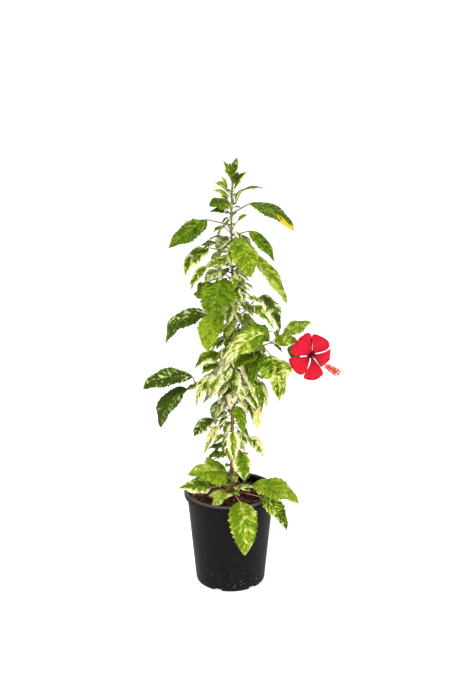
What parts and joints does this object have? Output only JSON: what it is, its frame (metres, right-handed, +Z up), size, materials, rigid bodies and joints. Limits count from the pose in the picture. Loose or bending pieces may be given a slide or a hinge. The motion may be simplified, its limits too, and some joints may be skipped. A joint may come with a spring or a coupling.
{
  "type": "potted hibiscus shrub",
  "caption": "Upright variegated hibiscus shrub in a round tapered black nursery pot, with drooping toothed leaves and a single red bloom on a side shoot.",
  "frame": {"origin": "centre of the pot's flat underside", "axes": "+Z up along the stem, -Y towards the side that the bloom faces, +X towards the bloom"},
  "size_m": [0.4083, 0.2658, 0.915],
  "materials": {
    "black_pot": "matt moulded, dusty low down",
    "potting_mix": "rough, moist bark and coir",
    "bark": "rough, pale brown",
    "green_wood": "semi-matt, green to tan",
    "petal": "velvety red",
    "leaf": "satin green with cream and yellow-green patches",
    "young_leaf": "satin yellow-green and cream"
  },
  "bodies": {
    "root": {"bloom": "petal", "flower_branch": "green_wood", "flower_stalk": "green_wood", "leaf_branch_1": "leaf", "leaf_branch_2": "leaf", "leaf_branch_3": "leaf", "leaf_branch_4": "leaf", "leaf_branch_5": "leaf", "leaf_branch_6": "leaf", "leaf_crown_1": "leaf", "leaf_crown_2": "leaf", "leaf_crown_3": "leaf", "leaf_crown_4": "leaf", "leaf_crown_5": "leaf", "leaf_foot_1": "leaf", "leaf_foot_2": "leaf", "leaf_foot_3": "leaf", "leaf_foot_4": "leaf", "leaf_foot_5": "leaf", "leaf_foot_6": "leaf", "leaf_heart_1": "leaf", "leaf_heart_2": "leaf", "leaf_heart_3": "leaf", "leaf_heart_4": "leaf", "leaf_left_1": "leaf", "leaf_left_2": "leaf", "leaf_middle_1": "leaf", "leaf_middle_2": "leaf", "leaf_middle_3": "leaf", "leaf_middle_4": "leaf", "leaf_middle_5": "leaf", "leaf_shoot_1": "leaf", "leaf_shoot_2": "leaf", "leaf_shoulder_1": "leaf", "leaf_shoulder_2": "leaf", "leaf_shoulder_3": "leaf", "leaf_shoulder_4": "leaf", "leaf_shoulder_5": "leaf", "leaf_shoulder_6": "leaf", "leaf_twig": "green_wood", "leaf_waist_1": "leaf", "leaf_waist_2": "leaf", "leaf_waist_3": "leaf", "leaf_waist_4": "leaf", "leaf_waist_5": "leaf", "leaf_waist_6": "leaf", "leaf_waist_7": "leaf", "left_shoot": "green_wood", "pot": "black_pot", "soil": "potting_mix", "stem": "bark", "tuft_branch": "young_leaf", "tuft_crown": "young_leaf", "tuft_foot": "young_leaf", "tuft_heart": "young_leaf", "tuft_middle": "young_leaf", "tuft_shoulder": "young_leaf", "tuft_tip": "young_leaf", "tuft_waist": "young_leaf", "upper_shoot": "green_wood"}
  },
  "joints": []
}
